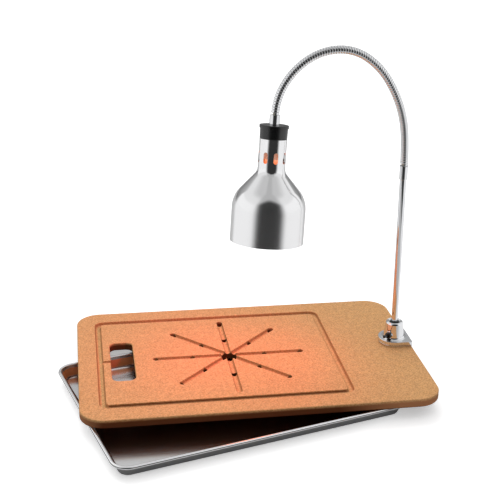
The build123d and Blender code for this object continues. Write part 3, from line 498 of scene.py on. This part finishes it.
def glazed_porcelain(tree, place, look):
    # Steatite under a clear glaze: cream white and glossy, the glaze pooling in slight waves. The skirt of the
    # lampholder is given a painted glow in the colour of the bulb's light.
    waves = add(tree, "ShaderNodeTexNoise", {"Vector": place, "Scale": 1 / (9 * MM), "Detail": 1.0})
    height = down_head(tree, place)
    # painted glow: the porcelain emits the bulb's colour near its skirt
    skirt_painted_glow = add(tree, "ShaderNodeMapRange", (height, HOLDER_SKIRT, BULB_NECK_FOOT, 0.0, HOLDER_PAINTED_GLOW))
    glow = add(tree, "ShaderNodeMapRange", (height, BULB_STAIN_START, SHADE_NECK_END, skirt_painted_glow, 0.0))
    return {
        "Base Color": look.porcelain,
        "Roughness": add(tree, "ShaderNodeMapRange", (waves, *WHOLE, *GLAZE_ROUGH)),
        "Normal": add(tree, "ShaderNodeBump", {"Height": waves, "Strength": 0.1, "Distance": 0.2 * MM}),
        "Emission Color": look.glow,
        "Emission Strength": glow,
    }


def silicone_sleeve(tree, place, look):
    # Extruded silicone insulation: chalky off-white with a matt, dusty skin.
    dust = add(tree, "ShaderNodeTexNoise", {"Vector": place, "Scale": 1 / (3 * MM), "Detail": 3.0})
    return {
        "Base Color": look.sleeve,
        "Roughness": add(tree, "ShaderNodeMapRange", (dust, *WHOLE, *SLEEVE_ROUGH)),
        "IOR": 1.41,
    }


def ruby_stained_glass(tree, place, look):
    # Ruby-stained bulb with the lamp burning: glossy red glass that glows orange, silvered and dim at its
    # narrow neck and brighter towards the domed face, a little unevenly.
    height = down_head(tree, place)
    stain_or_painted_shade = add(
        tree, "ShaderNodeMapRange", (height, BULB_NECK_FOOT, BULB_STAIN_START),
        interpolation_type="SMOOTHSTEP",
    )
    burn = add(tree, "ShaderNodeMapRange", (height, SHADE_NECK_END, BULB_FACE, *BULB_GLOW))
    patches = add(tree, "ShaderNodeTexNoise", {"Vector": place, "Scale": 1 / (35 * MM), "Detail": 2.0})
    uneven = add(tree, "ShaderNodeMapRange", (patches, *NOISE_MIDDLE, *BULB_UNEVEN))
    base, glow = (
        add(tree, "ShaderNodeMix", {0: stain_or_painted_shade, 6: look.silvering, 7: stain}, data_type="RGBA")
        for stain in (look.glass, look.glow)
    )
    return {
        "Base Color": base,
        "Emission Color": glow,
        "Emission Strength": add(tree, "ShaderNodeMath", (burn, uneven), operation="MULTIPLY"),
        "Roughness": 0.12,
        "IOR": 1.52,
    }


def clear_soda_glass(tree, place, look):
    # Drawn soda-lime glass of the stem: clear, smooth and slightly green in depth.
    seeds = add(tree, "ShaderNodeTexNoise", {"Vector": place, "Scale": 1 / (4 * MM), "Detail": 1.0})
    return {
        "Base Color": look.clear_glass,
        "Roughness": add(tree, "ShaderNodeMapRange", (seeds, *WHOLE, *STEM_ROUGH)),
        "Transmission Weight": 0.9,
        "IOR": 1.52,
    }


# By the slots of the record, and the hose's own
FINISHES = {
    "board": pressed_wood_fibre,
    "sheet_aluminium": rolled_sheet_aluminium,
    "shade_aluminium": spun_aluminium,
    "chrome": chromium_plate,
    "steel": zinc_plated_steel,
    "black_plastic": black_thermoset_moulding,
    "porcelain": glazed_porcelain,
    "brass": pressed_brass,
    "lead_sleeve": silicone_sleeve,
    "bulb_glass": ruby_stained_glass,
    "clear_glass": clear_soda_glass,
    "tungsten": drawn_tungsten,
    "hose": plated_gooseneck_wire,
}
made_finishes = {}


def finish_of(slot):
    """The material of a slot, made once."""
    if slot not in made_finishes:
        finish = FINISHES[slot]
        material, tree = new_material(finish.__name__)
        place = add(tree, "ShaderNodeTexCoord").outputs["Object"]
        inputs = finish(tree, place, bpy.context.scene.station_finish)
        shader = add(tree, "ShaderNodeBsdfPrincipled", inputs)
        add(tree, "ShaderNodeOutputMaterial", {"Surface": shader})
        made_finishes[slot] = material
    return made_finishes[slot]


def dress(nodes):
    """Gives CAD nodes the finishes of their slots."""
    for name in nodes:
        for place in frame["nodes"][name].material_slots:
            place.material = finish_of(SLOT_OF[name])


# Gooseneck hose

def hose_tree():
    """Winds a flat wire round a curve, and keeps the faces between two lengths along the curve."""
    tree = bpy.data.node_groups.new("wound_hose", "GeometryNodeTree")
    tree.interface.new_socket("Geometry", in_out="INPUT", socket_type="NodeSocketGeometry")
    for name, kind in (
        ("Points", "Int"), ("Pitch", "Float"), ("Radius", "Float"), ("Wire depth", "Float"),
        ("Wire width", "Float"), ("Wire rounding", "Float"), ("Rounding steps", "Int"), ("From", "Float"),
        ("To", "Float"), ("Wire", "Material"),
    ):
        tree.interface.new_socket(name, in_out="INPUT", socket_type="NodeSocket" + kind)
    tree.interface.new_socket("Geometry", in_out="OUTPUT", socket_type="NodeSocketGeometry")
    size = add(tree, "NodeGroupInput").outputs
    path = add(tree, "GeometryNodeResampleCurve", {"Curve": size["Geometry"], "Count": size["Points"]})
    length = add(tree, "GeometryNodeSplineParameter").outputs["Length"]
    marked = add(
        tree, "GeometryNodeStoreNamedAttribute",
        {"Geometry": path, "Name": "along", "Value": length}, domain="POINT",
    )
    turns = add(tree, "ShaderNodeMath", (length, size["Pitch"]), operation="DIVIDE")
    angle = add(tree, "ShaderNodeMath", (turns, 2 * math.pi), operation="MULTIPLY")
    tangent = add(tree, "GeometryNodeInputTangent").outputs["Tangent"]
    normal = add(tree, "GeometryNodeInputNormal").outputs["Normal"]
    across = add(tree, "ShaderNodeVectorMath", (tangent, normal), operation="CROSS_PRODUCT")
    cosine = add(tree, "ShaderNodeMath", (angle,), operation="COSINE")
    sine = add(tree, "ShaderNodeMath", (angle,), operation="SINE")
    ahead = add(tree, "ShaderNodeVectorMath", {0: normal, "Scale": cosine}, operation="SCALE")
    aside = add(tree, "ShaderNodeVectorMath", {0: across, "Scale": sine}, operation="SCALE")
    outwards = add(tree, "ShaderNodeVectorMath", (ahead, aside), operation="ADD")
    pointed = add(
        tree, "GeometryNodeStoreNamedAttribute",
        {"Geometry": marked, "Name": "outwards", "Value": outwards},
        domain="POINT", data_type="FLOAT_VECTOR",
    )
    direction = add(
        tree, "GeometryNodeInputNamedAttribute", {"Name": "outwards"}, data_type="FLOAT_VECTOR"
    ).outputs["Attribute"]
    half = add(tree, "ShaderNodeMath", (size["Wire depth"], 0.5), operation="MULTIPLY")
    reach = add(tree, "ShaderNodeMath", (size["Radius"], half), operation="SUBTRACT")
    offset = add(tree, "ShaderNodeVectorMath", {0: direction, "Scale": reach}, operation="SCALE")
    wound = add(tree, "GeometryNodeSetPosition", {"Geometry": pointed, "Offset": offset})
    turned = add(tree, "GeometryNodeSetCurveNormal", {"Curve": wound, "Normal": direction}, mode="FREE")
    flat = add(
        tree, "GeometryNodeCurvePrimitiveQuadrilateral",
        {"Width": size["Wire depth"], "Height": size["Wire width"]},
    )
    section = add(
        tree, "GeometryNodeFilletCurve",
        {"Curve": flat, "Radius": size["Wire rounding"], "Count": size["Rounding steps"]}, mode="POLY",
    )
    wire = add(tree, "GeometryNodeCurveToMesh", {"Curve": turned, "Profile Curve": section})
    along = add(
        tree, "GeometryNodeInputNamedAttribute", {"Name": "along"}, data_type="FLOAT"
    ).outputs["Attribute"]
    after = add(tree, "FunctionNodeCompare", (along, size["From"]), operation="GREATER_EQUAL")
    before = add(tree, "FunctionNodeCompare", (along, size["To"]), operation="LESS_THAN")
    between = add(tree, "FunctionNodeBooleanMath", (after, before))
    kept = add(
        tree, "GeometryNodeSeparateGeometry", {"Geometry": wire, "Selection": between}, domain="FACE"
    ).outputs["Selection"]
    smooth = add(tree, "GeometryNodeSetShadeSmooth", {"Geometry": kept})
    real = add(tree, "GeometryNodeRealizeInstances", {"Geometry": smooth})
    plated = add(tree, "GeometryNodeSetMaterial", {"Geometry": real, "Material": size["Wire"]})
    add(tree, "NodeGroupOutput", {"Geometry": plated})
    return tree


def neck_curve():
    """The gooseneck's middle line as a Bezier curve whose spans are the bends of its links."""
    data = bpy.data.curves.new("neck_line", "CURVE")
    data.dimensions = "3D"
    data.resolution_u = LINK_STEPS
    spline = data.splines.new("BEZIER")
    spline.bezier_points.add(LINK_COUNT)
    for index, point in enumerate(spline.bezier_points):
        point.handle_left_type = point.handle_right_type = "FREE"
        point.co = NECK_POINTS[index]
        for side, other in ((-1, max(index - 1, 0)), (1, min(index + 1, LINK_COUNT))):
            turn = NECK_DIRECTIONS[index].angle(NECK_DIRECTIONS[other])
            reach = LINK_LENGTH / turn * math.tan(turn / 4) * 4 / 3 if turn else LINK_LENGTH / 3
            handle = point.co + NECK_DIRECTIONS[index] * (side * reach)
            if side < 0:
                point.handle_left = handle
            else:
                point.handle_right = handle
    return data


def plain_mesh(item, name):
    """Turns an object with modifiers into a plain mesh object at the origin."""
    depsgraph = bpy.context.evaluated_depsgraph_get()
    mesh = bpy.data.meshes.new_from_object(item.evaluated_get(depsgraph))
    bpy.data.objects.remove(item)
    mesh.name = name
    made = bpy.data.objects.new(name, mesh)
    bpy.context.scene.collection.objects.link(made)
    return made


def hose_piece(name, tree, curve, first, last):
    """The part of the hose between two lengths, counted in links."""
    hose = bpy.context.scene.station_hose
    item = bpy.data.objects.new(name + "_line", curve)
    bpy.context.scene.collection.objects.link(item)
    winding = item.modifiers.new("winding", "NODES")
    winding.node_group = tree
    values = {
        "Points": LINK_COUNT * hose.turns_per_link * hose.steps_per_turn + 1,
        "Pitch": LINK_LENGTH / hose.turns_per_link,
        "Radius": hose.radius,
        "Wire depth": hose.wire_depth,
        "Wire width": hose.wire_width,
        "Wire rounding": hose.wire_rounding,
        "Rounding steps": hose.rounding_steps,
        "From": first * LINK_LENGTH,
        "To": last * LINK_LENGTH,
        "Wire": finish_of("hose"),
    }
    for socket in tree.interface.items_tree:
        if socket.name in values:
            winding[socket.identifier] = values[socket.name]
    made = plain_mesh(item, name)
    for extra in ("along", "outwards"):
        if extra in made.data.attributes:
            made.data.attributes.remove(made.data.attributes[extra])
    return made


# Studio

def sectors(tree, direction):
    """How nearly a direction faces the front, and how far it lies in the dark end and in the backdrop."""
    flat = add(tree, "ShaderNodeVectorMath", (direction, (1, 1, 0)), operation="MULTIPLY")
    level = add(tree, "ShaderNodeVectorMath", (flat,), operation="NORMALIZE")
    facing = add(tree, "ShaderNodeVectorMath", (level, FRONT), operation="DOT_PRODUCT")
    dark, backdrop = (
        add(
            tree, "ShaderNodeMapRange", (facing, math.cos(ended), math.cos(whole)),
            interpolation_type="SMOOTHSTEP",
        )
        for whole, ended in (DARK_END, BACKDROP)
    )
    return facing, dark, backdrop


def seen_rays(tree):
    """One for camera and transmission rays, and the outputs of the Light Path node."""
    path = add(tree, "ShaderNodeLightPath").outputs
    rays = (path["Is Camera Ray"], path["Is Transmission Ray"])
    return add(tree, "ShaderNodeMath", rays, operation="MAXIMUM"), path


def make_floor(studio):
    """A wide pale floor that keeps the shadow; for reflections it ends in the dark behind the camera."""
    half = studio.floor / 2
    corners = [(-half, -half, 0), (half, -half, 0), (half, half, 0), (-half, half, 0)]
    mesh = bpy.data.meshes.new("floor")
    mesh.from_pydata(corners, [], [(0, 1, 2, 3)])
    floor = bpy.data.objects.new("floor", mesh)
    bpy.context.scene.collection.objects.link(floor)
    material, tree = new_material("white_studio_floor")
    seen, path = seen_rays(tree)
    glossy = path["Is Glossy Ray"]
    place = add(tree, "ShaderNodeTexCoord").outputs["Object"]
    facing, dark, backdrop = sectors(tree, place)
    distance = add(tree, "ShaderNodeVectorMath", (place,), operation="LENGTH")
    beyond = add(
        tree, "ShaderNodeMapRange", (distance, FLOOR_NEAR, FLOOR_FAR), interpolation_type="SMOOTHSTEP"
    )
    mirrored = add(tree, "ShaderNodeMath", (beyond, glossy), operation="MULTIPLY")
    side = (math.cos(FLOOR_SIDE[1]), math.cos(FLOOR_SIDE[0]))
    beside = add(tree, "ShaderNodeMapRange", (facing, *side, glossy, mirrored))
    walls = add(tree, "ShaderNodeMapRange", (backdrop, *WHOLE, beside, 0.0))
    lifted = add(tree, "ShaderNodeMath", (seen, walls), operation="MAXIMUM")
    lift = add(tree, "ShaderNodeMath", (lifted, FLOOR_LIFT), operation="MULTIPLY")
    tone = add(tree, "ShaderNodeMapRange", (seen, *WHOLE, FLOOR_PAINT, FLOOR_WHITE))
    paint = add(tree, "ShaderNodeBsdfDiffuse", {"Color": tone})
    lamp = add(tree, "ShaderNodeEmission", {"Strength": lift})
    white = add(tree, "ShaderNodeAddShader", (paint, lamp))
    night = add(tree, "ShaderNodeEmission", {"Strength": DARK_LEVELS[0][1]})
    shut = add(tree, "ShaderNodeMath", (dark, mirrored), operation="MULTIPLY")
    surface = add(tree, "ShaderNodeMixShader", (shut, white, night))
    add(tree, "ShaderNodeOutputMaterial", {"Surface": surface})
    mesh.materials.append(material)


def make_world(scene):
    """The studio's walls and ceiling; the camera itself sees only white."""
    world = bpy.data.worlds.new("studio")
    scene.world = world
    world.use_nodes = True
    tree = world.node_tree
    tree.nodes.clear()
    seen, path = seen_rays(tree)
    direction = add(tree, "ShaderNodeTexCoord").outputs["Generated"]
    height = add(tree, "ShaderNodeSeparateXYZ", (direction,)).outputs["Z"]
    facing, dark, backdrop = sectors(tree, direction)
    fall = add(tree, "ShaderNodeMath", (facing, -DARK_ARCH, DARK_ARCH), operation="MULTIPLY_ADD")
    arched = add(tree, "ShaderNodeMath", (height, fall), operation="ADD")
    wall, back, night = (
        add(tree, "ShaderNodeValToRGB", (level,), stops=stops)
        for level, stops in ((height, WALL_LEVELS), (height, BACK_LEVELS), (arched, DARK_LEVELS))
    )
    behind = add(tree, "ShaderNodeMapRange", (backdrop, *WHOLE, wall, back))
    around = add(tree, "ShaderNodeMapRange", (dark, *WHOLE, behind, night))
    overhead = add(
        tree, "ShaderNodeMapRange", (height, *OVERHEAD, LOW_LIGHT, HIGH_LIGHT),
        interpolation_type="SMOOTHSTEP",
    )
    lit = add(tree, "ShaderNodeMapRange", (path["Is Diffuse Ray"], *WHOLE, around, overhead))
    strength = add(tree, "ShaderNodeMapRange", (seen, *WHOLE, lit, 1.0))
    sky = add(tree, "ShaderNodeBackground", {"Color": (1, 1, 1, 1), "Strength": strength})
    add(tree, "ShaderNodeOutputWorld", {"Surface": sky})


# Operators

class StationPan(bpy.types.Operator):
    """Finish the drip pan and the wire in its rim"""

    bl_idname = "station.pan"
    bl_label = "Drip pan"

    def execute(self, context):
        dress(("drip_pan", "rim_wire"))
        return {"FINISHED"}


class StationBoard(bpy.types.Operator):
    """Finish the carving board"""

    bl_idname = "station.board"
    bl_label = "Carving board"

    def execute(self, context):
        dress(("carving_board",))
        return {"FINISHED"}


class StationPedestal(bpy.types.Operator):
    """Finish the pedestal with its fasteners, switch and cord inlet"""

    bl_idname = "station.pedestal"
    bl_label = "Pedestal and switch"

    def execute(self, context):
        dress((
            "base_screws", "base_washers", "base_plate", "lamp_pedestal", "cord_inlet", "terminal_block",
            "switch_body", "switch_collar", "switch_lever", "post_bush",
        ))
        return {"FINISHED"}


class StationPost(bpy.types.Operator):
    """Finish the post, its ring, nut and ferrule and the lead inside"""

    bl_idname = "station.post"
    bl_label = "Post"

    def execute(self, context):
        dress(("post_tube", "post_nut", "post_collar", "lower_ferrule", "post_lead"))
        return {"FINISHED"}


class StationGooseneck(bpy.types.Operator):
    """Wind the gooseneck hose in pieces cut at the middles of its links, the foot riding on the post and the tip
    on the head
    """

    bl_idname = "station.gooseneck"
    bl_label = "Gooseneck"

    def execute(self, context):
        hose = context.scene.station_hose
        dress([f"neck_lead_{link}" for link in range(1, LINK_COUNT + 1)])
        tree, curve = hose_tree(), neck_curve()
        inset = hose.wire_width / 2 / LINK_LENGTH
        foot = hose_piece("hose_foot", tree, curve, inset, MID_LINK)
        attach(foot, "post")
        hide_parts("neck_link_1")
        for bend in range(1, LINK_COUNT):
            piece = hose_piece(f"hose_bend_{bend}", tree, curve, bend - MID_LINK, bend + MID_LINK)
            start = arc_point(NECK_POINTS[bend - 1], *NECK_DIRECTIONS[bend - 1:bend + 1], BLEND_FROM)
            end = arc_point(NECK_POINTS[bend], *NECK_DIRECTIONS[bend:bend + 2], BLEND_TO)
            if bend == TURNED_BEND:
                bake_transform(piece)
            else:
                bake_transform(piece)
            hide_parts(f"neck_link_{bend}", f"neck_link_{bend + 1}")
        tip = hose_piece("hose_tip", tree, curve, LINK_COUNT - MID_LINK, LINK_COUNT - inset)
        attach(tip, "head")
        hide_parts(f"neck_link_{LINK_COUNT}")
        return {"FINISHED"}


class StationHead(bpy.types.Operator):
    """Finish the lamp head and light its bulb"""

    bl_idname = "station.head"
    bl_label = "Lamp head"

    def execute(self, context):
        studio = context.scene.station_studio
        dress((
            "upper_ferrule", "head_lead", "head_cap", "head_nut", "shade", "lampholder", "lampholder_shell",
            "centre_contact", "bulb_cap", "bulb_tip", "bulb_glass", "bulb_stem", "bulb_filament",
        ))
        untinted = bpy.data.collections.new("untinted_by_bulb")
        untinted.objects.link(bpy.data.objects["floor"])
        untinted.collection_objects[0].light_linking.link_state = "EXCLUDE"
        source = HEAD_PLACE + HEAD_AXIS * (BULB_FACE + BEAM_RADIUS + BEAM_GAP)
        for name, (aim, angle, softness, share) in BEAMS.items():
            beam = bpy.data.lights.new(name, "SPOT")
            beam.shadow_soft_size = BEAM_RADIUS
            beam.spot_size = angle
            beam.spot_blend = softness
            beam.energy = studio.lamp * share
            beam.color = studio.lamp_colour[:3]
            lamp = bpy.data.objects.new(name, beam)
            context.scene.collection.objects.link(lamp)
            lamp.matrix_world = Matrix.Translation(source) @ (
                (Vector(aim) - source).to_track_quat("-Z", "Y").to_matrix().to_4x4()
            )
            lamp.visible_camera = False
            lamp.visible_glossy = False
            lamp.light_linking.receiver_collection = untinted
            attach(lamp, "head")
        return {"FINISHED"}


class StationStage(bpy.types.Operator):
    """Make the studio: floor, light, surroundings and camera"""

    bl_idname = "station.stage"
    bl_label = "Studio"

    def execute(self, context):
        scene = context.scene
        studio = scene.station_studio
        scene.view_settings.view_transform = "Standard"
        make_floor(studio)
        make_world(scene)
        key = bpy.data.lights.new("back_light", "SUN")
        key.energy = studio.key
        key.angle = studio.key_spread
        light = bpy.data.objects.new("back_light", key)
        scene.collection.objects.link(light)
        light.rotation_euler = (-Vector(KEY_FROM)).to_track_quat("-Z", "Y").to_euler()
        light.visible_glossy = False
        lens = bpy.data.cameras.new("view")
        lens.lens = studio.lens
        lens.sensor_width = SENSOR_WIDTH
        lens.clip_end = VIEW_END
        camera = bpy.data.objects.new("view", lens)
        scene.collection.objects.link(camera)
        right, up = Vector(CAMERA_RIGHT).normalized(), Vector(CAMERA_UP).normalized()
        camera.matrix_world = Matrix.Translation(CAMERA_PLACE) @ Matrix(
            (right, up, right.cross(up))
        ).transposed().to_4x4()
        scene.camera = camera
        return {"FINISHED"}


class StationPanel(bpy.types.Panel):
    """Lists the makers of the station"""

    bl_idname = "STATION_PT_makers"
    bl_label = "Infrared carving station"
    bl_space_type = "VIEW_3D"
    bl_region_type = "UI"
    bl_category = "Station"

    def draw(self, context):
        for maker in MAKERS:
            self.layout.operator(maker.bl_idname)
        for setting in SETTINGS:
            group = getattr(context.scene, setting)
            for name in group.bl_rna.properties.keys():
                if name not in ("rna_type", "name"):
                    self.layout.prop(group, name)


SETTINGS = {"station_hose": StationHose, "station_finish": StationFinish, "station_studio": StationStudio}
MAKERS = (
    StationPan, StationBoard, StationPedestal, StationPost, StationGooseneck, StationHead, StationStage,
)


def register():
    for item in (*SETTINGS.values(), *MAKERS, StationPanel):
        bpy.utils.register_class(item)
    for name, group in SETTINGS.items():
        setattr(bpy.types.Scene, name, PointerProperty(type=group))


def unregister():
    for name in SETTINGS:
        delattr(bpy.types.Scene, name)
    for item in reversed((*SETTINGS.values(), *MAKERS, StationPanel)):
        bpy.utils.unregister_class(item)


def main():
    register()
    bpy.ops.station.stage()
    bpy.ops.station.pan()
    bpy.ops.station.board()
    bpy.ops.station.pedestal()
    bpy.ops.station.post()
    bpy.ops.station.gooseneck()
    bpy.ops.station.head()


if __name__ == "__main__":
    main()
